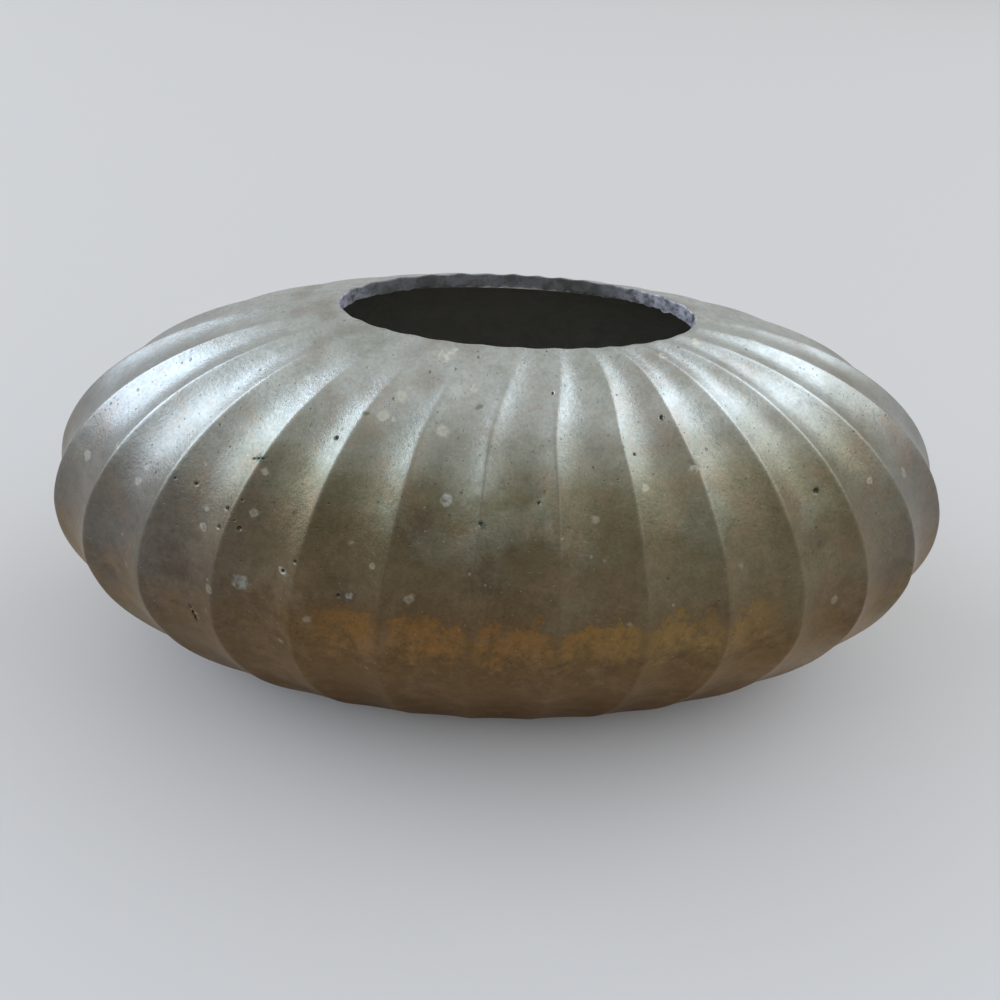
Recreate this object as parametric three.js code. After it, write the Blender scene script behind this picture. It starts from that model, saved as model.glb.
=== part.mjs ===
// A squat oval brass vase with hollow flutes all round, cast as two heavy shells and brazed at the waist.
// The lower shell's spigot stands in a rebate of the upper shell, the two meet on a flat shelf behind the
// flutes, and a ring of brazing brass fills the groove that is left above the spigot.
// Millimetres, +Z up, +X along the vase's length. The origin is the middle of the face that it stands on.
import * as THREE from 'three';
import { toCreasedNormals } from 'three/addons/utils/BufferGeometryUtils.js';

// Overall sizes, over the ridges between the flutes
const LENGTH = 280;
const DEPTH = 144;
const WAIST_HEIGHT = 58;
const SHOULDER_RISE = 65.5;
const MOUTH_LENGTH = 98;
const MOUTH_DEPTH = 46;
const BASE_LENGTH = 196;
const BASE_DEPTH = 89;

// How the body draws in from the waist, seen from the front and from the end. A power of 2 is a circle's
// arc and a lower one is more pointed. Reach is how much of the curve's quarter turn is used: 1 ends level.
const SHOULDER_FRONT_CURVE = { power: 1.94, reach: 0.991 };
const SHOULDER_END_CURVE = { power: 1.65, reach: 0.96 };
const UNDERSIDE_FRONT_CURVE = { power: 1.94, reach: 0.78 };
const UNDERSIDE_END_CURVE = { power: 1.65, reach: 0.757 };

// Flutes: shallow hollows that meet in sharp ridges, evenly spaced round the waist
const FLUTES = 30;
const FLUTE_DEPTH = 2.4;
const RIM_FLUTE_DEPTH = 0.4;

// Castings: the wall behind a flute's deepest line, the mouth's inner face and the floor
const WALL = 3.8;
const LIP_HEIGHT = 4.2;
const FLOOR = 4.5;

// Waist joint
const SHELF_WIDTH = 1.9;
const SPIGOT_RISE = 3;
const BRAZE_RISE = 1.2;
const BRAZE_BEAD = 0.8;
const BRAZE_ROUNDING = 0.3;
const JOINT_CLEARANCE = 0.3;

// Facets
const STEPS_PER_FLUTE = 4;
const SHOULDER_STEPS = 12;
const UNDERSIDE_STEPS = 8;
const HOLLOW_STEPS = 6;
const CREASE_ANGLE = THREE.MathUtils.degToRad(20);

const RIM_HEIGHT = WAIST_HEIGHT + SHOULDER_RISE;
const SHELF_INSET = FLUTE_DEPTH + SHELF_WIDTH;
const SPIGOT_INSET = SHELF_INSET + JOINT_CLEARANCE;
const WALL_INSET = FLUTE_DEPTH + WALL;
const SPIGOT_TOP = WAIST_HEIGHT + SPIGOT_RISE;
const REBATE_TOP = SPIGOT_TOP + BRAZE_RISE;

const UPPER_BRASS = new THREE.MeshStandardMaterial({ color: 0x8f8a7c, roughness: 0.42, metalness: 1 });
const LOWER_BRASS = new THREE.MeshStandardMaterial({ color: 0x8a7350, roughness: 0.48, metalness: 1 });
const BRAZING_BRASS = new THREE.MeshStandardMaterial({ color: 0xb8893f, roughness: 0.6, metalness: 1 });

/** Places round the vase: each has its angle, and how far down its flute it lies, 0 on a ridge. */
function makeColumns() {
  const waistLine = new THREE.EllipseCurve(0, 0, LENGTH / 2, DEPTH / 2);
  waistLine.arcLengthDivisions = 3600;
  const count = FLUTES * STEPS_PER_FLUTE;
  return Array.from({ length: count }, (_, i) => {
    const across = (i % STEPS_PER_FLUTE) / STEPS_PER_FLUTE;
    return {
      angle: 2 * Math.PI * waistLine.getUtoTmapping(i / count),
      sink: 4 * across * (1 - across),
    };
  });
}

const COLUMNS = makeColumns();

/** Height left on a superellipse's arc after a share t of its width. */
const arc = (t, { power, reach }) => (1 - (reach * t) ** power) ** (1 / power);

/** Share of the way in from the waist, at a share t of the height to the rim or the base. */
const drawnIn = (t, curve) => (1 - arc(t, curve)) / (1 - arc(1, curve));

/** How fast drawnIn grows with t. It is 0 at the waist, where the wall stands upright. */
function drawnInRate(t, curve) {
  const { power, reach } = curve;
  return (reach * (reach * t) ** (power - 1) * arc(t, curve) ** (1 - power)) / (1 - arc(1, curve));
}

/** The oval through the ridges at height z: its half axes, and how they change with height. */
function ridgeOval(z) {
  const upper = z >= WAIST_HEIGHT;
  const rise = upper ? SHOULDER_RISE : -WAIST_HEIGHT;
  const t = (z - WAIST_HEIGHT) / rise;
  const front = upper ? SHOULDER_FRONT_CURVE : UNDERSIDE_FRONT_CURVE;
  const end = upper ? SHOULDER_END_CURVE : UNDERSIDE_END_CURVE;
  const insetX = (LENGTH - (upper ? MOUTH_LENGTH : BASE_LENGTH)) / 2;
  const insetY = (DEPTH - (upper ? MOUTH_DEPTH : BASE_DEPTH)) / 2;
  return {
    x: LENGTH / 2 - insetX * drawnIn(t, front),
    y: DEPTH / 2 - insetY * drawnIn(t, end),
    rateX: (-insetX * drawnInRate(t, front)) / rise,
    rateY: (-insetY * drawnInRate(t, end)) / rise,
  };
}

/** Depth of the flutes at height z: they shrink with their width to the rim, and run out at the base. */
function fluteDepth(z) {
  if (z < WAIST_HEIGHT) return (FLUTE_DEPTH * z) / WAIST_HEIGHT;
  const width = (2 * ridgeOval(z).x - MOUTH_LENGTH) / (LENGTH - MOUTH_LENGTH);
  return RIM_FLUTE_DEPTH + (FLUTE_DEPTH - RIM_FLUTE_DEPTH) * width;
}

/** Point at one angle round the vase, set in square to the ridge surface at height z. */
function wallPoint(angle, z, inset) {
  const oval = ridgeOval(z);
  const cos = Math.cos(angle);
  const sin = Math.sin(angle);
  const lean = oval.x * oval.rateY * sin * sin + oval.y * oval.rateX * cos * cos;
  const outward = new THREE.Vector3(oval.y * cos, oval.x * sin, -lean).normalize();
  return new THREE.Vector3(oval.x * cos, oval.y * sin, z).addScaledVector(outward, -inset);
}

/** Ring round the outside at height z, pressed into the flutes. */
const flutedRing = (z) => COLUMNS.map(({ angle, sink }) => wallPoint(angle, z, sink * fluteDepth(z)));

/** Smooth ring round the inside, one wall behind the flutes' deepest line at height z. */
const hollowRing = (z) => COLUMNS.map(({ angle }) => wallPoint(angle, z, fluteDepth(z) + WALL));

/** Smooth level ring at height z, set in from the ridges at another height. */
const levelRing = (ridgeHeight, inset, z) => (
  COLUMNS.map(({ angle }) => wallPoint(angle, ridgeHeight, inset).setZ(z))
);

/** Smooth ring of the waist joint, at a stated inset from the ridges of the waist. */
const jointRing = (inset, z) => levelRing(WAIST_HEIGHT, inset, z);

/** A ring shrunk to one point on the axis, which closes a floor. */
const pole = (z) => [new THREE.Vector3(0, 0, z)];

/** Evenly turned steps of a quarter turn, from 0 at the first to 1 at the last. */
const quarterTurn = (steps) => Array.from({ length: steps + 1 }, (_, i) => Math.sin((i / steps) * (Math.PI / 2)));

/** Closed body through rings listed up the outside, over the top and down the inside. */
function loft(rings) {
  const points = rings.flat();
  const starts = rings.map((_, i) => rings.slice(0, i).reduce((sum, ring) => sum + ring.length, 0));
  const index = [];
  rings.forEach((ring, i) => {
    const next = (i + 1) % rings.length;
    const above = rings[next];
    for (let column = 0; column < COLUMNS.length; column += 1) {
      const after = (column + 1) % COLUMNS.length;
      const a = starts[i] + (column % ring.length);
      const b = starts[i] + (after % ring.length);
      const c = starts[next] + (after % above.length);
      const d = starts[next] + (column % above.length);
      if (a !== b) index.push(a, b, c);
      if (c !== d) index.push(a, c, d);
    }
  });
  const geometry = new THREE.BufferGeometry().setFromPoints(points);
  geometry.setIndex(index);
  return toCreasedNormals(geometry, CREASE_ANGLE);
}

/** Shoulder casting: fluted outside up to the mouth, the lip's upright face, the hollow and the rebate. */
function makeUpperShell() {
  const outside = quarterTurn(SHOULDER_STEPS).map((t) => flutedRing(WAIST_HEIGHT + SHOULDER_RISE * t));
  const inside = quarterTurn(HOLLOW_STEPS)
    .slice(1, -1)
    .map((t) => hollowRing(WAIST_HEIGHT + SHOULDER_RISE * t))
    .reverse();
  return loft([
    ...outside,
    levelRing(RIM_HEIGHT, 0, RIM_HEIGHT - LIP_HEIGHT),
    ...inside,
    levelRing(REBATE_TOP, fluteDepth(REBATE_TOP) + WALL, REBATE_TOP),
    jointRing(SHELF_INSET, REBATE_TOP),
    jointRing(SHELF_INSET, WAIST_HEIGHT),
  ]);
}

/** Bowl casting: flat standing face, fluted outside up to the waist, the spigot, the hollow and the floor. */
function makeLowerShell() {
  const outside = quarterTurn(UNDERSIDE_STEPS)
    .map((t) => flutedRing(WAIST_HEIGHT * (1 - t)))
    .reverse();
  const inside = quarterTurn(HOLLOW_STEPS)
    .slice(1)
    .map((t) => hollowRing(WAIST_HEIGHT * (1 - t)))
    .map((ring) => ring.map((point) => point.setZ(Math.max(point.z, FLOOR))));
  return loft([
    pole(0),
    ...outside,
    jointRing(SPIGOT_INSET, WAIST_HEIGHT),
    jointRing(SPIGOT_INSET, SPIGOT_TOP),
    jointRing(WALL_INSET, SPIGOT_TOP),
    jointRing(WALL_INSET, WAIST_HEIGHT),
    ...inside,
    pole(FLOOR),
  ]);
}

/** Brazing brass in the groove over the spigot, with a rounded bead standing proud of the inside wall. */
function makeBrazeRing() {
  const bead = WALL_INSET + BRAZE_BEAD;
  return loft([
    jointRing(SPIGOT_INSET, SPIGOT_TOP),
    jointRing(SPIGOT_INSET, REBATE_TOP),
    jointRing(bead - 2 * BRAZE_ROUNDING, REBATE_TOP),
    jointRing(bead, REBATE_TOP - BRAZE_ROUNDING),
    jointRing(bead, SPIGOT_TOP + BRAZE_ROUNDING),
    jointRing(bead - 2 * BRAZE_ROUNDING, SPIGOT_TOP),
  ]);
}

function namedMesh(name, geometry, material) {
  const mesh = new THREE.Mesh(geometry, material);
  mesh.name = name;
  return mesh;
}

const vase = new THREE.Group();
vase.add(
  namedMesh('upper_shell', makeUpperShell(), UPPER_BRASS),
  namedMesh('lower_shell', makeLowerShell(), LOWER_BRASS),
  namedMesh('braze_ring', makeBrazeRing(), BRAZING_BRASS),
);

export default vase;
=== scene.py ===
"""Looks of the oval fluted brass vase, built round its packed shells.

Each shell is a sheet rolled up into a drum, with one row per ring, and every row is then pressed to its
fluted oval. Flaws of the casting are struck into the finished wall. Metres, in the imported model's frame.
Places round the vase are counted in flutes from the ridge at the +X end: the middle of the front is 22.5.
"""

import math

import bmesh
import bpy
import numpy as np
from mathutils import Matrix, Vector
from mathutils.kdtree import KDTree


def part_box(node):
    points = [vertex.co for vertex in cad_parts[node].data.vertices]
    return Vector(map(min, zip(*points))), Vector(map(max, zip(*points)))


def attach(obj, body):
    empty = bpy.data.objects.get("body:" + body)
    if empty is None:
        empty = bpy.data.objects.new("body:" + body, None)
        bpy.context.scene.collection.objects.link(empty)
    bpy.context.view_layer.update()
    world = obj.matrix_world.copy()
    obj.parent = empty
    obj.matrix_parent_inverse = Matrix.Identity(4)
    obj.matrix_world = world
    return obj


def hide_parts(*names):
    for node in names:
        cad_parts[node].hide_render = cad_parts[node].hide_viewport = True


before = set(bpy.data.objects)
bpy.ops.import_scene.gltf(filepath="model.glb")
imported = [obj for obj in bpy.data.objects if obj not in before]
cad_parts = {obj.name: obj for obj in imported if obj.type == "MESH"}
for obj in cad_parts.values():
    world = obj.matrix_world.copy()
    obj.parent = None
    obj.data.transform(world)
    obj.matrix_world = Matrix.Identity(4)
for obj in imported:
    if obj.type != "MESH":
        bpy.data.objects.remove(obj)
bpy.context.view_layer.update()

MM = 0.001

# The body's sizes over its ridges, as the castings have them
LENGTH = 280 * MM
DEPTH = 144 * MM
MOUTH_LENGTH = 98 * MM
MOUTH_DEPTH = 46 * MM
BASE_LENGTH = 196 * MM
BASE_DEPTH = 89 * MM
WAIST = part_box("upper_shell")[0].z
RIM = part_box("upper_shell")[1].z
FLUTES = 30
FLUTE_DEPTH = 2.4 * MM
RIM_FLUTE_DEPTH = 0.3 * MM  # worn down from the casting's 0.4
WALL = 3.8 * MM
LIP_HEIGHT = 4.2 * MM
FLOOR = 4.5 * MM

# How the body draws in from the waist: its rise, its curves seen from the front and the end, its last oval
SHOULDER = {
    "rise": RIM - WAIST,
    "front": (1.94, 0.991),
    "end": (1.65, 0.96),
    "oval": (MOUTH_LENGTH, MOUTH_DEPTH),
}
UNDERSIDE = {
    "rise": -WAIST,
    "front": (1.94, 0.78),
    "end": (1.65, 0.757),
    "oval": (BASE_LENGTH, BASE_DEPTH),
}

# The joint behind the waist
SHELF_WIDTH = 1.9 * MM
JOINT_CLEARANCE = 0.3 * MM
SPIGOT_RISE = 3 * MM
BRAZE_RISE = 1.2 * MM
BRAZE_BEAD = 0.8 * MM
SHELF_INSET = FLUTE_DEPTH + SHELF_WIDTH
SPIGOT_INSET = SHELF_INSET + JOINT_CLEARANCE
WALL_INSET = FLUTE_DEPTH + WALL
SPIGOT_TOP = WAIST + SPIGOT_RISE
REBATE_TOP = SPIGOT_TOP + BRAZE_RISE

# Columns across one flute, closer together at its ridges, and the rings of each part of the wall
ACROSS = (0, 0.02, 0.05, 0.1, 0.17, 0.25, 0.33, 0.42, 0.5, 0.58, 0.67, 0.75, 0.83, 0.9, 0.95, 0.98)
SHOULDER_RINGS = 74
UNDERSIDE_RINGS = 44
HOLLOW_RINGS = 26
LIP_RINGS = (0.15, 0.35, 0.6, 0.8, 1)
BASE_RINGS = (0, 0.15, 0.35, 0.6, 0.85)
FLOOR_RINGS = (0.75, 0.45, 0.2, 0)
BEAD_TURNS = (-90, -60, -30, 0, 30, 60, 90)
CORNER_SEGMENTS = 3
SHARP_ANGLE = 50
OVAL_STEPS = 7200
CURVE_STEPS = 600

# Wear of the ridges, as shares of a flute's width, and of the two rims
RIDGE_ROUNDING = 0.02
RIDGE_ROUNDING_AT_RIM = 0.15
RIM_ROUNDING = 0.45 * MM
BASE_ROUNDING = 0.7 * MM

# Unevenness of the hand's work. The ridges' stray and drift, and the drift's places and width, are in flutes.
UNEVEN_DEPTH = 0.04
WALL_WAVES = 0.08 * MM
RIDGE_STRAY = 0.05
RIM_DRIFT = 0.5
DRIFT_AT_FRONT = 23.3
DRIFT_AT_BACK = 9.2
DRIFT_WIDTH = 2.6
DRIFT_START = 0.75  # share of the shoulder's height
LIP_FILING = 0.1 * MM
LIP_BREAKS = 0.3 * MM
UNEVEN_BEAD = 0.25
WAVES_IN_WOBBLE = 14

# Kinds of surface, which are the places of their finishes in each shell's list
OUTSIDE, LIP, INSIDE = range(3)

# Flaws of the casting on the front: place in flutes, then height, radius and depth in millimetres
PITS = (
    (18.33, 92.6, 0.75, 0.5),
    (18.07, 92.5, 0.55, 0.3),
    (18.91, 89.6, 0.65, 0.5),
    (19.05, 92.1, 0.5, 0.4),
    (18.9, 85.1, 0.65, 0.5),
    (19.14, 85.9, 0.95, 0.6),
    (19.06, 87.5, 0.5, 0.3),
    (19.96, 81.3, 0.7, 0.4),
    (19.82, 78.1, 0.75, 0.7),
    (22.02, 94, 0.8, 0.5),
    (20.5, 73.9, 0.9, 0.5),
    (24.82, 113.3, 0.8, 0.4),
    (22.75, 98.5, 0.6, 0.4),
    (26.65, 96.2, 1.1, 0.5),
    (19.81, 107.1, 0.7, 0.4),
    (22.89, 117.3, 0.6, 0.3),
    (24.16, 107.3, 0.5, 0.3),
)
DENTS = (
    (17.38, 59.5, 3.5, 0.45),
    (18.82, 59, 3.4, 0.4),
    (24.96, 104.1, 2.4, 0.55),
    (20.6, 75, 2.6, 0.3),
    (26.5, 66, 4, 0.3),
    (22.2, 70, 5, 0.25),
)
# Short cracks: both ends, then radius and depth
CRACKS = (
    ((18.62, 60), (18.68, 54), 0.45, 0.7),
    ((18.86, 100.4), (19.05, 101), 0.32, 0.14),
)
CRACK_STEPS = 22
CRACK_JOG = 0.006
CRACK_DARKNESS = 0.5

# Small pits strewn over the rest of the vase: how many, and between which radii, places and heights
STRAY_PITS = 60
STRAY_RADII = (0.35, 0.85)
STRAY_PLACES = (-1, 16)
STRAY_HEIGHTS = (20, 117)
STRAY_STEEPNESS = 0.6

# How finely and how far out the wall is cut round a small flaw, and the largest that a flaw may be
PIT_CUTS = 4
SMALL_FLAW = 1.5 * MM
FINE_MARGIN = 0.9 * MM
LARGEST_FLAW = 6 * MM

# Marks on the front: place in flutes, height and radius in millimetres
WATER_SPOTS = (
    (16.4, 86.4, 2.18),
    (17.53, 88.5, 1.61),
    (17.53, 92, 1.26),
    (18.67, 83.7, 1.61),
    (19.24, 89.8, 1.84),
    (18.95, 68.9, 1.95),
    (19.82, 78.1, 1.72),
    (20.34, 115.3, 2.18),
    (20.28, 111.8, 1.95),
    (20.46, 111.5, 1.03),
    (21.45, 117.6, 1.72),
    (21.26, 110.5, 2.18),
    (20.84, 83, 1.49),
    (21.3, 75.7, 1.84),
    (27.64, 94.6, 1.38),
    (26.57, 66.1, 1.72),
    (24.18, 101.1, 1.49),
    (28.43, 91.7, 2.18),
)
# Pale crusts, and among them painted glints: along the crack's edge, on a dent, on a nicked ridge and on the
# right shoulder
PALE_SPOTS_AND_GLINTS = (
    (21.55, 98.2, 2.1),
    (19.31, 72.5, 3),
    (19.82, 78.1, 1.5),
    # painted glint along the crack's edge
    (18.7, 57.6, 0.9),
    (18.72, 56, 0.9),
    (20.45, 121.5, 2.3),
    (20.51, 122.4, 1.7),
    (26.1, 121.9, 1.7),
    (27.83, 122.7, 1.7),
    # painted glints: on the right shoulder, on a dent and on a nicked ridge
    (28.99, 120.7, 1.8),
    (20.62, 74.3, 1.3),
    (24.96, 104.1, 1.5),
)
VERDIGRIS = (
    (21.65, 114.9, 1.4),
    (20.01, 111.7, 1.1),
    (19.81, 107.1, 1.1),
    (24.82, 113.3, 1.1),
    (26.65, 96.2, 1.5),
    (18.96, 100.8, 1.9),
    (22.05, 93.6, 1.3),
)
DARK_PATCHES = (
    (18.41, 72.5, 8),
    (20.46, 74.6, 8),
    (21.26, 92.9, 8),
    (22.09, 80.6, 9),
    (24.84, 70.5, 7),
    (26.3, 84, 8),
)

# Colours of the patina up the wall, from the base at 0 to the rim at 1: of the flanks and of the two ends.
# They also hold painted reflections: silvery towards the rim, partly a painted reflection of the bright light
# above, and very dark towards the base, partly a painted shade of the shadowed floor mirrored by the
# underside.
FLANK_PATINA_AND_REFLECTIONS = (
    (0.0, (0.026, 0.013, 0.006)),
    (0.2, (0.08, 0.044, 0.021)),
    (0.38, (0.14, 0.084, 0.043)),
    (0.55, (0.125, 0.082, 0.042)),
    (0.66, (0.168, 0.129, 0.076)),
    (0.72, (0.138, 0.111, 0.066)),
    (0.79, (0.15, 0.137, 0.087)),
    (0.86, (0.265, 0.263, 0.217)),
    (0.94, (0.45, 0.463, 0.425)),
    (1.0, (0.46, 0.475, 0.44)),
)
END_PATINA_AND_REFLECTIONS = (
    (0.0, (0.09, 0.064, 0.045)),
    (0.45, (0.105, 0.09, 0.076)),
    (0.62, (0.145, 0.131, 0.112)),
    (0.72, (0.19, 0.181, 0.158)),
    (0.8, (0.31, 0.31, 0.288)),
    (1.0, (0.45, 0.465, 0.44)),
)
# Tint of the brass's glancing reflections up the wall, dark brown at the base: painted shade over the brass's
# warm tint
EDGE_TINT = ((0.0, (0.55, 0.38, 0.26)), (0.4, (1.0, 0.86, 0.7)), (0.8, (1.0, 1.0, 1.0)))

# Other colours of the outside
OLIVE = (0.215, 0.187, 0.112)
# Painted sheen, low on the right end
RIGHT_END_SHEEN = (0.35, 0.315, 0.275)
ORANGE_BRASS = (0.24, 0.125, 0.042)
YELLOW_BRASS = (0.26, 0.163, 0.058)
GOLDEN_BROWN = (0.16, 0.1, 0.04)
YELLOW_BROWN = (0.2, 0.137, 0.057)
DARK_BROWN = (0.085, 0.06, 0.042)
WARM_BROWN = (0.2, 0.13, 0.08)
MISTY_GREEN = (0.24, 0.25, 0.19)
RIDGE_BRASS = (0.5, 0.5, 0.46)
WATER_MARK = (0.62, 0.59, 0.48)
# Colours of the pale crusts, also given to the painted glints
LOW_CRUST_AND_GLINT = (0.42, 0.45, 0.43)
RIM_CRUST_AND_GLINT = (0.82, 0.8, 0.64)
GREEN_CRUST = (0.07, 0.09, 0.06)
PALE_FLECK = (0.5, 0.47, 0.4)
DARK_PORE = (0.08, 0.07, 0.055)
DARK_SPECK = (0.06, 0.055, 0.04)
PIT_DIRT = (0.045, 0.046, 0.038)

# The golden band, partly worn brass and partly a painted reflection of the lit floor, in millimetres: start,
# full, fading and end. Its cloud lifts the heights by about 20.
BAND_HEIGHTS = (73, 84, 87, 90.5)
BAND_LENGTH = (-65, -35, 55, 80)
# The golden-brown glow round the band: partly patina, partly a painted reflection of the lit floor
GLOW_HEIGHTS = (50, 70, 80, 88)

# The brass's roughness and how much it varies, and the depths of its grain and its lumps in millimetres
SATIN = 0.26
UNEVEN_SATIN = 0.16
GRAIN = 0.08
LUMPS = 0.12

# Colours of the mouth's cut face, of the inside and of the brazing
LIP_GREY = (0.13, 0.13, 0.12)
LIP_BLOOM = (0.24, 0.245, 0.26)
# Paler, bluish ends of the lip: partly a crumbly pale edge, partly a painted sheen of the side light
LIP_ENDS = (0.56, 0.56, 0.62)
LIP_DIRT = (0.1, 0.095, 0.09)
CASTING_DARK = (0.28, 0.27, 0.24)
CASTING_PALE = (0.5, 0.48, 0.42)
BRAZING_YELLOW = (0.6, 0.4, 0.15)
FLUX_STAIN = (0.14, 0.1, 0.06)

# Where the photograph was taken from, and its lens on a sensor 36 mm wide
CAMERA_PLACE = (-0.01393, -0.20026, 0.21478)
CAMERA_PITCH, CAMERA_YAW, CAMERA_ROLL = 0.67115, 0.06214, 0.0735
SENSOR_WIDTH = 36
LENS = 27.994

# The floor
FLOOR_COLOUR = (0.56, 0.535, 0.505, 1)
FLOOR_ROUGHNESS = 0.5
FLOOR_HALF_WIDTH = 20

# The room's colours, where they change with height and depth, and what its right and sides add to those
LOW_FRONT = (0.24, 0.227, 0.204)
HIGH_FRONT = (0.76, 0.775, 0.78)
BEHIND = (0.7, 0.71, 0.72)
HEIGHTS_OF_CHANGE = (-0.15, 0.8)
DEPTHS_OF_CHANGE = (-0.2, 0.8)
HEIGHT_TO_RIGHT = 0.14
DEPTH_TO_RIGHT = 0.2
DEPTH_TO_SIDES = 0.85

# Lamps: name, place, width, height, watts and colour. All point at the middle of the vase.
LAMPS = (
    ("left window", (-4.1, 0.25, 2.5), 4.2, 2.6, 143, (0.64, 0.78, 1.0)),
    ("front window", (-2.7, -2.5, 2.6), 2.8, 2.2, 16, (0.7, 0.82, 1.0)),
    ("right window", (3.46, 0.4, 3.1), 4.2, 3.0, 90, (0.72, 0.83, 1.0)),
    ("far right window", (2.6, -2.6, 2.4), 2.4, 2.0, 9, (0.8, 0.88, 1.0)),
)
VASE_MIDDLE = Vector((0, 0, 0.08))


def wobble(seed, slowest, fastest):
    """A wobble between about -1 and 1 that closes on itself round the vase, as a function of the place."""
    rng = np.random.default_rng(seed)
    waves = rng.integers(slowest, fastest + 1, WAVES_IN_WOBBLE)
    starts = rng.uniform(0, math.tau, len(waves))
    swings = rng.uniform(0.4, 1, len(waves))
    swings *= 2 / swings.sum()

    def at(turns):
        return sum(s * np.cos(w * turns / FLUTES * math.tau + b) for w, b, s in zip(waves, starts, swings))

    return at


TURNS = np.array([flute + across for flute in range(FLUTES) for across in ACROSS])
UNEVEN_FLUTES = wobble(3, 4, 15)
UNEVEN_WALL = wobble(5, 3, 24)
UNEVEN_RIDGES = wobble(8, 3, 12)


def angle_of(turns):
    """Angle at a place round the vase: the flutes are equally wide along the waist's oval."""
    angles = np.linspace(0, math.tau, OVAL_STEPS + 1)
    steps = np.hypot(LENGTH * np.sin(angles), DEPTH * np.cos(angles))
    walked = np.concatenate([[0], np.cumsum((steps[1:] + steps[:-1]) / 2)])
    laps = np.floor(turns / FLUTES)
    return np.interp(turns / FLUTES - laps, walked / walked[-1], angles) + laps * math.tau


def arc(share, curve):
    """Height left on a curve, given by its power and reach, after a share of its width."""
    power, reach = curve
    return (1 - (reach * share) ** power) ** (1 / power)


def drawn_in(share, curve):
    """Share of the way in from the waist, at a share of the height to the rim or the base."""
    return (1 - arc(share, curve)) / (1 - arc(1, curve))


def drawn_in_rate(share, curve):
    """How fast drawn_in grows with that share of the height."""
    power, reach = curve
    rate = reach * (reach * share) ** (power - 1) * arc(share, curve) ** (1 - power)
    return rate / (1 - arc(1, curve))


def ridge_oval(z):
    """Half axes of the oval through the ridges at one height, and how they change with height."""
    part = SHOULDER if z >= WAIST else UNDERSIDE
    share = min(max((z - WAIST) / part["rise"], 0), 1)
    halves, rates = [], []
    for full, drawn, curve in zip((LENGTH, DEPTH), part["oval"], (part["front"], part["end"])):
        inset = (full - drawn) / 2
        halves.append(full / 2 - inset * drawn_in(share, curve))
        rates.append(-inset * drawn_in_rate(share, curve) / part["rise"])
    return halves, rates


def flute_depth(z):
    """Depth of the flutes: they shrink with their width to the rim, and run out at the base."""
    if z < WAIST:
        return FLUTE_DEPTH * z / WAIST
    width = (2 * ridge_oval(z)[0][0] - MOUTH_LENGTH) / (LENGTH - MOUTH_LENGTH)
    return RIM_FLUTE_DEPTH + (FLUTE_DEPTH - RIM_FLUTE_DEPTH) * width


def strayed(turns, z):
    """Places after the ridges' drift: a little off even everywhere, and towards +X close to the mouth."""
    share = min(max((z - WAIST) / (RIM - WAIST), 0), 1)
    near_rim = max((share - DRIFT_START) / (1 - DRIFT_START), 0) ** 2
    front = np.exp(-(((turns - DRIFT_AT_FRONT) / DRIFT_WIDTH) ** 2))
    back = np.exp(-(((turns - DRIFT_AT_BACK) / DRIFT_WIDTH) ** 2))
    return turns + RIDGE_STRAY * UNEVEN_RIDGES(turns) + near_rim * RIM_DRIFT * (front - back)


def wall_points(turns, z, inset):
    """Points at one height, set in square to the surface through the ridges, and the way out of it."""
    (half_x, half_y), (rate_x, rate_y) = ridge_oval(z)
    angles = angle_of(turns)
    cos, sin = np.cos(angles), np.sin(angles)
    lean = half_x * rate_y * sin * sin + half_y * rate_x * cos * cos
    outward = np.stack([half_y * cos, half_x * sin, -lean], axis=1)
    outward /= np.linalg.norm(outward, axis=1, keepdims=True)
    surface = np.stack([half_x * cos, half_y * sin, np.full_like(cos, z)], axis=1)
    return surface - np.reshape(inset, (-1, 1)) * outward, outward


def sink(turns, rounding=RIDGE_ROUNDING):
    """How far down its flute a place lies: 0 on a worn ridge, 1 along the middle."""
    from_ridge = np.abs(turns - np.round(turns))
    worn = np.hypot(from_ridge, rounding) - rounding
    return 1 - (1 - worn / (math.hypot(0.5, rounding) - rounding)) ** 2


def outside_points(turns, z):
    """The outside at one height: in its flutes, with the slow waves of a wall that was finished by hand."""
    deep = flute_depth(z) * (1 - UNEVEN_DEPTH + UNEVEN_DEPTH * UNEVEN_FLUTES(turns))
    waves = WALL_WAVES * (1 + UNEVEN_WALL(turns + z / MM / 9)) * min(z / (10 * MM), 1)
    near_rim = max((z - WAIST) / (RIM - WAIST), 0) ** 12
    rounding = RIDGE_ROUNDING + (RIDGE_ROUNDING_AT_RIM - RIDGE_ROUNDING) * near_rim
    return wall_points(strayed(turns, z), z, sink(turns, rounding) * deep + np.maximum(waves, 0))


def place_on_wall(turn, height):
    """A place on the outside, from its place in flutes and height in millimetres, and the way out there."""
    places, outward = outside_points(np.array([float(turn)]), height * MM)
    return Vector(places[0]), Vector(outward[0])


def fluted_ring(z):
    """Ring round the outside."""
    return outside_points(TURNS, z)[0]


def hollow_ring(z):
    """Smooth ring round the inside, one wall behind the flutes' deepest line."""
    return wall_points(TURNS, z, np.full_like(TURNS, flute_depth(z) + WALL))[0]


def levelled(ring, z):
    """The ring with all its points brought to one height."""
    ring = ring.copy()
    ring[:, 2] = z
    return ring


def joint_ring(inset, z):
    """Level ring of the waist joint, at an inset from the ridges of the waist."""
    return levelled(wall_points(TURNS, WAIST, inset + np.zeros_like(TURNS))[0], z)


def moved_out(ring, distance):
    """The ring with its points moved away from the vase's upright axis."""
    ring = ring.copy()
    ring[:, :2] *= 1 + np.reshape(distance, (-1, 1)) / np.linalg.norm(ring[:, :2], axis=1, keepdims=True)
    return ring


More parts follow.
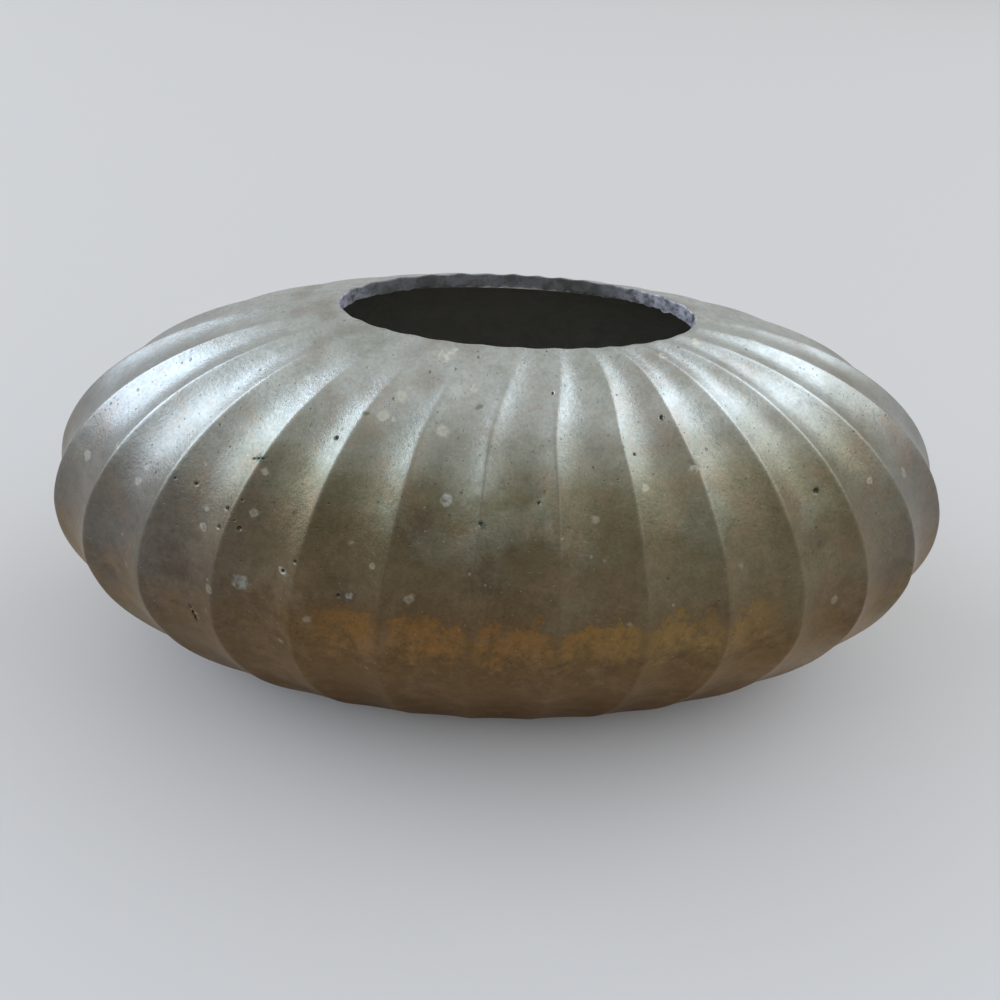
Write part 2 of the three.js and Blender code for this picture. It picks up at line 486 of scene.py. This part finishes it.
def ring_heights(part, count):
    """Heights from the waist to the rim or base, evenly spaced along the wall."""
    heights = WAIST + part["rise"] * np.sin(np.linspace(0, math.pi / 2, CURVE_STEPS))
    outline = np.array([[sum(ridge_oval(z)[0]) / 2, z] for z in heights])
    walked = np.concatenate([[0], np.cumsum(np.linalg.norm(np.diff(outline, axis=0), axis=1))])
    return np.interp(np.linspace(0, walked[-1], count + 1), walked, heights)


def roll_and_press(rings, faces, corners=()):
    """Rolls up a sheet with a row per ring, presses each row to its ring, and closes its seams and poles.

    faces gives the kind of surface after each ring, and corners the rings that are rounded, with the
    radius.
    """
    bm = bmesh.new()
    columns, rows = len(TURNS), len(rings) - 1
    bmesh.ops.create_grid(bm, x_segments=columns, y_segments=rows, size=1)
    hollow = bm.verts.layers.float.new("hollow")
    bm.verts.layers.float.new("pit")
    corner = bm.edges.layers.int.new("corner")
    levels = [round((vert.co.y + 1) / 2 * rows) for vert in bm.verts]
    for face in bm.faces:
        face.material_index = faces[min(levels[vert.index] for vert in face.verts)]
        face.smooth = True
    for number, (level, _) in enumerate(corners, 1):
        for edge in bm.edges:
            if levels[edge.verts[0].index] == levels[edge.verts[1].index] == level:
                edge[corner] = number
    depth = sink(TURNS)
    for vert in bm.verts:
        column = round((vert.co.x + 1) / 2 * columns) % columns
        vert.co = rings[levels[vert.index]][column]
        vert[hollow] = depth[column]
    bmesh.ops.remove_doubles(bm, verts=bm.verts, dist=MM / 1000)
    bmesh.ops.recalc_face_normals(bm, faces=bm.faces)
    for number, (_, radius) in enumerate(corners, 1):
        bmesh.ops.bevel(
            bm,
            geom=[edge for edge in bm.edges if edge[corner] == number],
            offset=radius,
            offset_type="OFFSET",
            affect="EDGES",
            segments=CORNER_SEGMENTS,
            profile=0.5,
            material=-1,
            clamp_overlap=True,
        )
    return bm


def casting_flaws():
    """Every flaw: its middle on the wall, the way out there, its radius and depth, and how dark it is."""
    rng = np.random.default_rng(21)
    flaws = [(*pit, 1) for pit in PITS] + [(*dent, 0) for dent in DENTS]
    for _ in range(STRAY_PITS):
        radius = rng.uniform(*STRAY_RADII)
        place = (rng.uniform(*STRAY_PLACES), rng.uniform(*STRAY_HEIGHTS))
        flaws.append((*place, radius, STRAY_STEEPNESS * radius, 1))
    for start, end, radius, depth in CRACKS:
        for step in np.linspace(0, 1, CRACK_STEPS):
            jog = CRACK_JOG * math.sin(step * 19)
            place = np.array(start) * (1 - step) + np.array(end) * step + (jog, 0)
            flaws.append((*place, radius, depth, CRACK_DARKNESS))
    placed = []
    for turn, height, radius, depth, dark in flaws:
        middle, outward = place_on_wall(turn, height)
        placed.append((middle, outward, radius * MM, depth * MM, dark))
    return placed


def strike(bm, flaws):
    """Cuts the facets round each small flaw finer, and presses every flaw into the wall."""
    pit = bm.verts.layers.float["pit"]
    finder = KDTree(len(flaws))
    for number, flaw in enumerate(flaws):
        finder.insert(flaw[0], number)
    finder.balance()
    edges = set()
    for face in bm.faces:
        if face.material_index == OUTSIDE:
            for _, number, distance in finder.find_range(face.calc_center_median(), LARGEST_FLAW):
                radius = flaws[number][2]
                if radius < SMALL_FLAW and distance < radius + FINE_MARGIN:
                    edges.update(face.edges)
    in_order = [edge for edge in bm.edges if edge in edges]
    bmesh.ops.subdivide_edges(bm, edges=in_order, cuts=PIT_CUTS, use_grid_fill=True)
    for vert in bm.verts:
        place = vert.co.copy()
        for _, number, distance in finder.find_range(place, LARGEST_FLAW):
            _, outward, radius, depth, dark = flaws[number]
            if distance < radius and vert.link_faces[0].material_index == OUTSIDE:
                fall = (1 - (distance / radius) ** 2) ** 2
                vert.co -= outward * depth * fall
                vert[pit] = max(vert[pit], dark * fall)


def finish_piece(bm, name, materials):
    """Makes the mesh an object in its place, smooth but for its corners."""
    mesh = bpy.data.meshes.new(name)
    bm.to_mesh(mesh)
    bm.free()
    for material in materials:
        mesh.materials.append(material)
    mesh.set_sharp_from_angle(angle=math.radians(SHARP_ANGLE))
    piece = bpy.data.objects.new(name, mesh)
    bpy.context.scene.collection.objects.link(piece)
    return piece


def make_upper_shell(flaws):
    """Shoulder casting: the fluted outside up to the mouth, the cut lip, the hollow and the rebate."""
    outside = [fluted_ring(z) for z in ring_heights(SHOULDER, SHOULDER_RINGS)]
    filed, broken, torn = wobble(11, 20, 70), wobble(12, 30, 120), wobble(13, 6, 40)
    rim = outside[-1]
    even = levelled(wall_points(TURNS, RIM, np.zeros_like(TURNS))[0], RIM - LIP_HEIGHT)
    lip = []
    for share in LIP_RINGS:
        ring = rim * (1 - share) + even * share
        ring = moved_out(ring, LIP_FILING * filed(TURNS + 3 * share) * min(share * 3, 1))
        ring[:, 2] -= LIP_BREAKS * share**3 * (broken(TURNS) + torn(TURNS))
        lip.append(ring)
    heights = ring_heights(SHOULDER, HOLLOW_RINGS)[1:-1][::-1]
    inside = [hollow_ring(z) for z in heights if z > REBATE_TOP + MM]
    joint = [
        levelled(hollow_ring(REBATE_TOP), REBATE_TOP),
        joint_ring(SHELF_INSET, REBATE_TOP),
        joint_ring(SHELF_INSET, WAIST),
    ]
    rings = outside + lip + inside + joint + outside[:1]
    faces = [OUTSIDE] * (len(outside) - 1) + [LIP] * len(lip)
    faces += [INSIDE] * (len(rings) - len(faces))
    bm = roll_and_press(rings, faces, [(len(outside) - 1, RIM_ROUNDING)])
    strike(bm, flaws)
    return bm


def make_lower_shell(flaws):
    """Bowl casting: the flat standing face, the fluted outside, the spigot, the hollow and the floor."""
    outside = [fluted_ring(z) for z in ring_heights(UNDERSIDE, UNDERSIDE_RINGS)[::-1]]
    base = [outside[0] * share for share in BASE_RINGS]
    joint = [
        joint_ring(SPIGOT_INSET, WAIST),
        joint_ring(SPIGOT_INSET, SPIGOT_TOP),
        joint_ring(WALL_INSET, SPIGOT_TOP),
        joint_ring(WALL_INSET, WAIST),
    ]
    inside = [hollow_ring(z) for z in ring_heights(UNDERSIDE, HOLLOW_RINGS)[1:]]
    inside = [levelled(ring, FLOOR) if ring[:, 2].min() < FLOOR else ring for ring in inside]
    floor = [levelled(inside[-1] * share, FLOOR) for share in FLOOR_RINGS]
    rings = base + outside + joint + inside + floor
    faces = [OUTSIDE] * (len(base) + len(outside) - 1)
    faces += [INSIDE] * (len(rings) - len(faces))
    bm = roll_and_press(rings, faces, [(len(base), BASE_ROUNDING)])
    strike(bm, flaws)
    return bm


def make_braze_ring():
    """Brazing brass in the groove over the spigot, with the uneven bead of a joint that was run by hand."""
    middle, half = (SPIGOT_TOP + REBATE_TOP) / 2, (REBATE_TOP - SPIGOT_TOP) / 2
    run = BRAZE_BEAD * (1 - UNEVEN_BEAD + UNEVEN_BEAD * wobble(31, 5, 60)(TURNS))
    bead = []
    for turn in BEAD_TURNS:
        out, up = math.cos(math.radians(turn)), math.sin(math.radians(turn))
        bead.append(joint_ring(WALL_INSET + run * out, middle - half * up))
    groove = [joint_ring(SPIGOT_INSET, SPIGOT_TOP), joint_ring(SPIGOT_INSET, REBATE_TOP)]
    rings = groove + bead + groove[:1]
    return roll_and_press(rings, [0] * (len(rings) - 1))


class Nodes:
    """The nodes of a finish or of the room, being added one after another."""

    def __init__(self, tree):
        self.tree = tree

    def add(self, kind, inputs=None, **settings):
        node = self.tree.nodes.new(kind)
        for setting, value in settings.items():
            setattr(node, setting, value)
        for socket, value in (inputs or {}).items():
            self.put(node, socket, value)
        return node

    def put(self, node, socket, value):
        """Links a value that varies to a node's socket, and sets one that doesn't on it."""
        if isinstance(value, bpy.types.NodeSocket):
            self.tree.links.new(value, node.inputs[socket])
        else:
            node.inputs[socket].default_value = value

    def maths(self, operation, a, b=0.0, c=0.0):
        return self.add("ShaderNodeMath", {0: a, 1: b, 2: c}, operation=operation).outputs[0]

    def product(self, first, *others):
        for other in others:
            first = self.maths("MULTIPLY", first, other)
        return first

    def larger(self, a, b):
        return self.maths("MAXIMUM", a, b)

    def scaled(self, value, scale, added):
        """The value times a scale, with something added."""
        return self.maths("MULTIPLY_ADD", value, scale, added)

    def vector(self, operation, a, b, c=(0.0, 0.0, 0.0)):
        return self.add("ShaderNodeVectorMath", {0: a, 1: b, 2: c}, operation=operation).outputs[0]

    def step(self, value, start, end):
        """0 before start, 1 after end, and eased in between. Start may be the larger."""
        low, high, to_low, to_high = (start, end, 0.0, 1.0) if start < end else (end, start, 1.0, 0.0)
        inputs = {"Value": value, "From Min": low, "From Max": high, "To Min": to_low, "To Max": to_high}
        return self.add("ShaderNodeMapRange", inputs, interpolation_type="SMOOTHSTEP").outputs[0]

    def between(self, value, start, full, fading, end):
        """1 from full to fading, eased to 0 at start and at end."""
        return self.product(self.step(value, start, full), self.step(value, end, fading))

    def mix(self, share, a, b, **settings):
        a, b = ((*c, 1) if isinstance(c, tuple) else c for c in (a, b))
        return self.add("ShaderNodeMix", {0: share, 6: a, 7: b}, data_type="RGBA", **settings).outputs[2]


class Finish(Nodes):
    """A finish being mixed. Its x, y and z are the place on the vase in millimetres."""

    def __init__(self, name):
        self.material = bpy.data.materials.new(name)
        self.material.use_nodes = True
        super().__init__(self.material.node_tree)
        self.shader = self.tree.nodes["Principled BSDF"]
        self.places = self.add("ShaderNodeTexCoord").outputs["Object"]
        axes = self.add("ShaderNodeSeparateXYZ", {0: self.places}).outputs
        self.x, self.y, self.z = (self.maths("DIVIDE", axis, MM) for axis in axes)

    def attribute(self, name):
        return self.add("ShaderNodeAttribute", attribute_name=name).outputs["Fac"]

    def cloud(self, size, detail=3.0, roughness=0.55):
        """Noise about 0.5, with patches of about this size in millimetres."""
        inputs = {"Vector": self.places, "Scale": 1 / (size * MM), "Detail": detail, "Roughness": roughness}
        return self.add("ShaderNodeTexNoise", inputs).outputs[0]

    def dots(self, spacing, largest, share, places=None, soft=0.25):
        """Round dots on a share of the cells of this spacing in millimetres, each with its own radius."""
        inputs = {"Vector": places or self.places, "Scale": 1 / (spacing * MM)}
        cells = self.add("ShaderNodeTexVoronoi", inputs)
        draw = self.add("ShaderNodeSeparateColor", {0: cells.outputs["Color"]})
        chosen = self.maths("LESS_THAN", draw.outputs[0], share)
        radius = self.scaled(draw.outputs[1], 0.6 * largest / spacing, 0.4 * largest / spacing)
        inside = self.maths("SUBTRACT", radius, cells.outputs["Distance"])
        return self.product(self.step(inside, 0.0, soft * largest / spacing), chosen)

    def marks(self, places, marks):
        """How deep inside a round mark on the wall a place lies: 0 at its edge, 1 in its middle."""
        inside = 0.0
        for turn, height, radius in marks:
            inputs = {0: places, 1: tuple(place_on_wall(turn, height)[0])}
            away = self.add("ShaderNodeVectorMath", inputs, operation="DISTANCE").outputs["Value"]
            inside = self.larger(inside, self.step(away, radius * MM, 0.0))
        return inside

    def ramp(self, value, stops):
        ramp = self.add("ShaderNodeValToRGB", {0: value})
        ramp.color_ramp.interpolation = "EASE"
        elements = ramp.color_ramp.elements
        while len(elements) < len(stops):
            elements.new(0.5)
        for element, (place, colour) in zip(elements, stops):
            element.position = place
            element.color = (*colour, 1)
        return ramp.outputs[0]

    def bump(self, height, depth, normal=None):
        """Bumps of this depth in millimetres, on top of others where they are given."""
        inputs = {"Strength": 1.0, "Distance": depth * MM, "Height": height}
        if normal:
            inputs["Normal"] = normal
        return self.add("ShaderNodeBump", inputs).outputs[0]

    def finish(self, colour, roughness, metallic, normal=None):
        looks = {"Base Color": colour, "Roughness": roughness, "Metallic": metallic}
        if normal:
            looks["Normal"] = normal
        for socket, value in looks.items():
            self.put(self.shader, socket, value)
        return self.material


def patina(coat, ragged, share):
    """Patina, silvery on the shoulder, olive on the flanks and brown round the base, and paler at the two
    ends.
    The silver is partly a painted reflection of the light above, the darkness round the base is partly
    painted shade, and the right end has a painted sheen low down.
    """
    # The front is more olive towards its right side
    olive = coat.product(coat.between(share, 0.45, 0.65, 0.82, 0.92), coat.step(coat.x, -10, 50), 0.5)
    flank = coat.mix(olive, coat.ramp(share, FLANK_PATINA_AND_REFLECTIONS), OLIVE)
    at_end = coat.larger(coat.step(coat.x, -50, -110), coat.step(coat.x, 80, 130))
    colour = coat.mix(at_end, flank, coat.ramp(share, END_PATINA_AND_REFLECTIONS))
    # Painted sheen: low on the right end the colour is made paler, for the light that falls more brightly on
    # that side
    made_paler = coat.product(coat.step(coat.x, 60, 100), coat.step(ragged, 55, 35), 0.7)
    return coat.mix(made_paler, colour, RIGHT_END_SHEEN)


def golden_band(coat, colour, hollow):
    """Golden band round the waist, ragged along its upper edge and brightest in the hollows.
    It is partly worn brass and partly a painted reflection of the lit floor, as is the golden-brown glow
    round it.
    """
    torn = coat.scaled(coat.cloud(7, 6, 0.7), 40, coat.z)
    band = coat.product(coat.between(torn, *BAND_HEIGHTS), coat.between(coat.x, *BAND_LENGTH))
    worn = coat.product(coat.step(coat.cloud(9, 6, 0.75), 0.32, 0.5), coat.step(hollow, -0.3, 0.5))
    right = coat.step(coat.x, 0, 45)
    gold = coat.mix(right, ORANGE_BRASS, YELLOW_BRASS)
    # The band: partly worn brass, partly a painted reflection of the lit floor
    colour = coat.mix(coat.product(band, worn, 0.85), colour, gold)
    # Golden-brown glow: partly patina, partly a painted reflection of the lit floor
    glow = coat.product(coat.between(torn, *GLOW_HEIGHTS), coat.step(coat.cloud(6, 6, 0.7), 0.4, 0.6), 0.4)
    return coat.mix(glow, colour, coat.mix(right, GOLDEN_BROWN, YELLOW_BROWN))


def dark_patches(coat, colour):
    """Dark patches above the band, on the front and the back alike."""
    front = coat.product(coat.maths("ABSOLUTE", coat.y), -1.0)
    front = coat.add("ShaderNodeCombineXYZ", {0: coat.x, 1: front, 2: coat.z}).outputs[0]
    front = coat.vector("MULTIPLY", front, (MM, MM, MM))
    dark = coat.step(coat.marks(front, DARK_PATCHES), 0.0, 0.6)
    dark = coat.product(dark, coat.step(coat.cloud(9, 6, 0.7), 0.35, 0.6), 0.5)
    return coat.mix(dark, colour, DARK_BROWN)


def mottling(coat, colour, share):
    """Brown and misty green clouds, and a fine unevenness of the whole patina."""
    browner = coat.mix(0.35, colour, WARM_BROWN)
    colour = coat.mix(coat.step(coat.cloud(14, 8, 0.7), 0.5, 0.62), colour, browner)
    misty = coat.product(coat.step(coat.cloud(22, 8, 0.7), 0.52, 0.64), coat.step(share, 0.5, 0.8), 0.35)
    colour = coat.mix(misty, colour, MISTY_GREEN)
    shade = coat.scaled(coat.cloud(3.5, 6, 0.7), 0.8, 0.35)
    shade = coat.scaled(coat.cloud(0.9, 3, 0.6), 0.5, shade)
    shade = coat.add("ShaderNodeCombineColor", {0: shade, 1: shade, 2: shade}).outputs[0]
    return coat.mix(1.0, colour, shade, blend_type="MULTIPLY")


def water_marks(coat, colour, share):
    """Water spots, each with a paler rim, and thicker pale and green crusts, all with ragged edges.
    Some of the pale marks are painted glints on a dent, a nicked ridge, the right shoulder and a crack's
    edge.
    """
    shaken = coat.add("ShaderNodeTexNoise", {"Vector": coat.places, "Scale": 500, "Detail": 2})
    shaken = shaken.outputs["Color"]
    shaken = coat.vector("ADD", shaken, (-0.5, -0.5, -0.5))
    shaken = coat.vector("MULTIPLY_ADD", shaken, (2.2 * MM, 2.2 * MM, 2.2 * MM), coat.places)
    strewn = coat.product(coat.dots(9, 1.8, 0.5, shaken, 1.0), 0.75)
    water = coat.larger(coat.marks(shaken, WATER_SPOTS), strewn)
    rims = coat.scaled(coat.step(water, 0.35, 0.9), -0.4, coat.step(water, 0.0, 0.6))
    rims = coat.product(rims, coat.cloud(1.2, 4, 0.7), 2.0)
    clear = coat.scaled(coat.step(share, 0.7, 0.9), 0.2, 0.32)
    colour = coat.mix(coat.product(rims, clear), colour, WATER_MARK)
    # Pale crusts, with painted glints among them
    pale = coat.step(coat.marks(shaken, PALE_SPOTS_AND_GLINTS), 0.0, 0.4)
    pale = coat.product(pale, coat.step(coat.cloud(1.3, 4, 0.7), 0.3, 0.65))
    crust_and_glint = coat.mix(coat.step(share, 0.75, 0.92), LOW_CRUST_AND_GLINT, RIM_CRUST_AND_GLINT)
    colour = coat.mix(coat.product(pale, 0.55), colour, crust_and_glint)
    green = coat.step(coat.marks(shaken, VERDIGRIS), 0.0, 0.8)
    colour = coat.mix(coat.product(green, 0.6), colour, GREEN_CRUST)
    return colour, coat.larger(rims, pale)


def pores_and_pits(coat, colour):
    """Pale flecks, pores, specks, and the dirt in the pits."""
    pores = coat.dots(1.3, 0.3, 0.4)
    specks = coat.dots(2.9, 0.5, 0.25)
    flecks = coat.dots(3.7, 0.55, 0.16, coat.vector("ADD", coat.places, (0.7, 0.3, 0.5)))
    grains = coat.dots(1.5, 0.24, 0.3, coat.vector("ADD", coat.places, (0.2, 0.9, 0.4)))
    colour = coat.mix(coat.product(coat.larger(flecks, grains), 0.3), colour, PALE_FLECK)
    colour = coat.mix(coat.product(pores, 0.35), colour, DARK_PORE)
    colour = coat.mix(coat.product(specks, 0.5), colour, DARK_SPECK)
    colour = coat.mix(coat.step(coat.attribute("pit"), 0.05, 0.6), colour, PIT_DIRT)
    return colour, coat.larger(specks, pores)


def aged_brass():
    """Satin brass with its patina, a golden band, worn paler ridges, water marks, pores and pits.
    Painted light in it: reflections in the patina and the band, a sheen low on the right end, glints on a few
    marks, and shade in the glancing tint near the base.
    """
    coat = Finish("aged brass")
    hollow = coat.attribute("hollow")
    ragged = coat.maths("SUBTRACT", coat.scaled(coat.cloud(22, 6, 0.6), 14, coat.z), 7)
    share = coat.maths("DIVIDE", ragged, RIM / MM)
    colour = patina(coat, ragged, share)
    colour = golden_band(coat, colour, hollow)
    colour = dark_patches(coat, colour)
    colour = mottling(coat, colour, share)
    made_paler = coat.product(coat.step(hollow, 0.12, 0.0), coat.step(share, 0.6, 0.8), 0.06)
    colour = coat.mix(made_paler, colour, RIDGE_BRASS)
    colour, crusts = water_marks(coat, colour, share)
    colour, holes = pores_and_pits(coat, colour)
    roughness = coat.scaled(coat.cloud(5, 5, 0.65), UNEVEN_SATIN, SATIN)
    roughness = coat.scaled(crusts, UNEVEN_SATIN, roughness)
    grain = coat.maths("SUBTRACT", coat.cloud(0.9, 4, 0.65), coat.product(holes, 1.2))
    normal = coat.bump(grain, GRAIN, coat.bump(coat.cloud(11, 2), LUMPS))
    # The glancing reflections are darkened and browned towards the base: painted shade
    coat.put(coat.shader, "Specular Tint", coat.ramp(share, EDGE_TINT))
    return coat.finish(colour, roughness, 1.0, normal)


def cut_lip():
    """The mouth's cut face, grey with a bluish bloom, and paler at the two ends, partly from a crumbly pale
    edge and partly a painted sheen of the side light.
    """
    coat = Finish("cut lip")
    bloom = coat.step(coat.cloud(9, 4, 0.6), 0.4, 0.62)
    colour = coat.mix(bloom, LIP_GREY, LIP_BLOOM)
    # Painted sheen, over a partly crumbly pale edge: the two ends of the lip are made paler and bluish
    ends = coat.step(coat.maths("ABSOLUTE", coat.maths("ADD", coat.x, 6)), 30, 46)
    ends = coat.product(ends, coat.step(coat.cloud(3, 5, 0.7), 0.38, 0.62))
    colour = coat.mix(ends, colour, LIP_ENDS)
    darker = coat.mix(0.5, colour, LIP_DIRT)
    colour = coat.mix(coat.step(coat.cloud(1.6, 5, 0.7), 0.36, 0.5), darker, colour)
    roughness = coat.scaled(coat.cloud(1.2, 4, 0.6), 0.3, 0.45)
    return coat.finish(colour, roughness, 0.4, coat.bump(coat.cloud(2.2, 5, 0.6), 0.12))


def raw_casting():
    """The inside, left dark and rough as it came from the mould."""
    coat = Finish("raw casting")
    colour = coat.mix(coat.cloud(6, 6, 0.65), CASTING_DARK, CASTING_PALE)
    return coat.finish(colour, 0.75, 0.2, coat.bump(coat.cloud(1.4, 6, 0.65), 0.3))


def brazing():
    """Yellow brazing brass with flux stains."""
    coat = Finish("brazing brass")
    colour = coat.mix(coat.step(coat.cloud(5, 5, 0.65), 0.4, 0.65), BRAZING_YELLOW, FLUX_STAIN)
    roughness = coat.scaled(coat.cloud(2, 4, 0.6), 0.3, 0.35)
    return coat.finish(colour, roughness, 1.0, coat.bump(coat.cloud(1.6, 4), 0.2))


def make_camera():
    """The photograph's view, looking down on the vase from the front, a little to its left."""
    pitch, yaw, roll = CAMERA_PITCH, CAMERA_YAW, CAMERA_ROLL
    ahead = Vector((math.sin(yaw) * math.cos(pitch), math.cos(yaw) * math.cos(pitch), -math.sin(pitch)))
    right = Vector((math.cos(yaw), -math.sin(yaw), 0))
    down = ahead.cross(right)
    across = right * math.cos(roll) - down * math.sin(roll)
    upward = -(right * math.sin(roll) + down * math.cos(roll))
    data = bpy.data.cameras.new("camera")
    data.sensor_width = SENSOR_WIDTH
    data.lens = LENS
    data.clip_start = 0.01
    data.clip_end = 100
    camera = bpy.data.objects.new("camera", data)
    turn = Matrix((across, upward, -ahead)).transposed().to_4x4()
    camera.matrix_world = Matrix.Translation(CAMERA_PLACE) @ turn
    bpy.context.scene.collection.objects.link(camera)
    bpy.context.scene.camera = camera


def make_floor():
    bm = bmesh.new()
    bmesh.ops.create_grid(bm, x_segments=1, y_segments=1, size=FLOOR_HALF_WIDTH)
    mesh = bpy.data.meshes.new("floor")
    bm.to_mesh(mesh)
    bm.free()
    mesh.materials.append(Finish("pale floor").finish(FLOOR_COLOUR, FLOOR_ROUGHNESS, 0.0))
    floor = bpy.data.objects.new("floor", mesh)
    bpy.context.scene.collection.objects.link(floor)


def make_room():
    """A pale room, dimmer low in front of the vase, and brighter towards its right side."""
    world = bpy.data.worlds.new("studio")
    world.use_nodes = True
    room = Nodes(world.node_tree)
    direction = room.add("ShaderNodeTexCoord").outputs["Generated"]
    rightward, backward, upward = room.add("ShaderNodeSeparateXYZ", {0: direction}).outputs
    sideward = room.maths("ABSOLUTE", rightward)
    rightward = room.larger(rightward, 0.0)
    height = room.scaled(rightward, HEIGHT_TO_RIGHT, upward)
    front = room.mix(room.step(height, *HEIGHTS_OF_CHANGE), LOW_FRONT, HIGH_FRONT)
    behind = room.scaled(sideward, DEPTH_TO_SIDES, backward)
    behind = room.scaled(rightward, DEPTH_TO_RIGHT, behind)
    colour = room.mix(room.step(behind, *DEPTHS_OF_CHANGE), front, BEHIND)
    room.put(room.tree.nodes["Background"], "Color", colour)
    bpy.context.scene.world = world


def make_lamps():
    """Soft windows at both sides of the vase, and fainter ones in front."""
    for name, place, width, height, power, colour in LAMPS:
        data = bpy.data.lights.new(name, "AREA")
        data.shape = "RECTANGLE"
        data.size = width
        data.size_y = height
        data.energy = power
        data.color = colour
        lamp = bpy.data.objects.new(name, data)
        lamp.location = place
        lamp.rotation_mode = "QUATERNION"
        lamp.rotation_quaternion = (VASE_MIDDLE - Vector(place)).to_track_quat("-Z", "Y")
        bpy.context.scene.collection.objects.link(lamp)


make_camera()
make_floor()
make_room()
make_lamps()

FLAWS = casting_flaws()
OUTER_FINISHES = [aged_brass(), cut_lip(), raw_casting()]
PIECES = (
    ("shoulder", make_upper_shell(FLAWS), OUTER_FINISHES, "upper_shell", "shoulder_brass"),
    ("bowl", make_lower_shell(FLAWS), OUTER_FINISHES, "lower_shell", "bowl_brass"),
    ("braze", make_braze_ring(), [brazing()], "braze_ring", "brazing_brass"),
)
for piece_name, shape, finishes, node, slot in PIECES:
    piece = finish_piece(shape, piece_name, finishes)
    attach(piece, "root")
    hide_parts(node)

bpy.context.scene.view_settings.view_transform = "Standard"
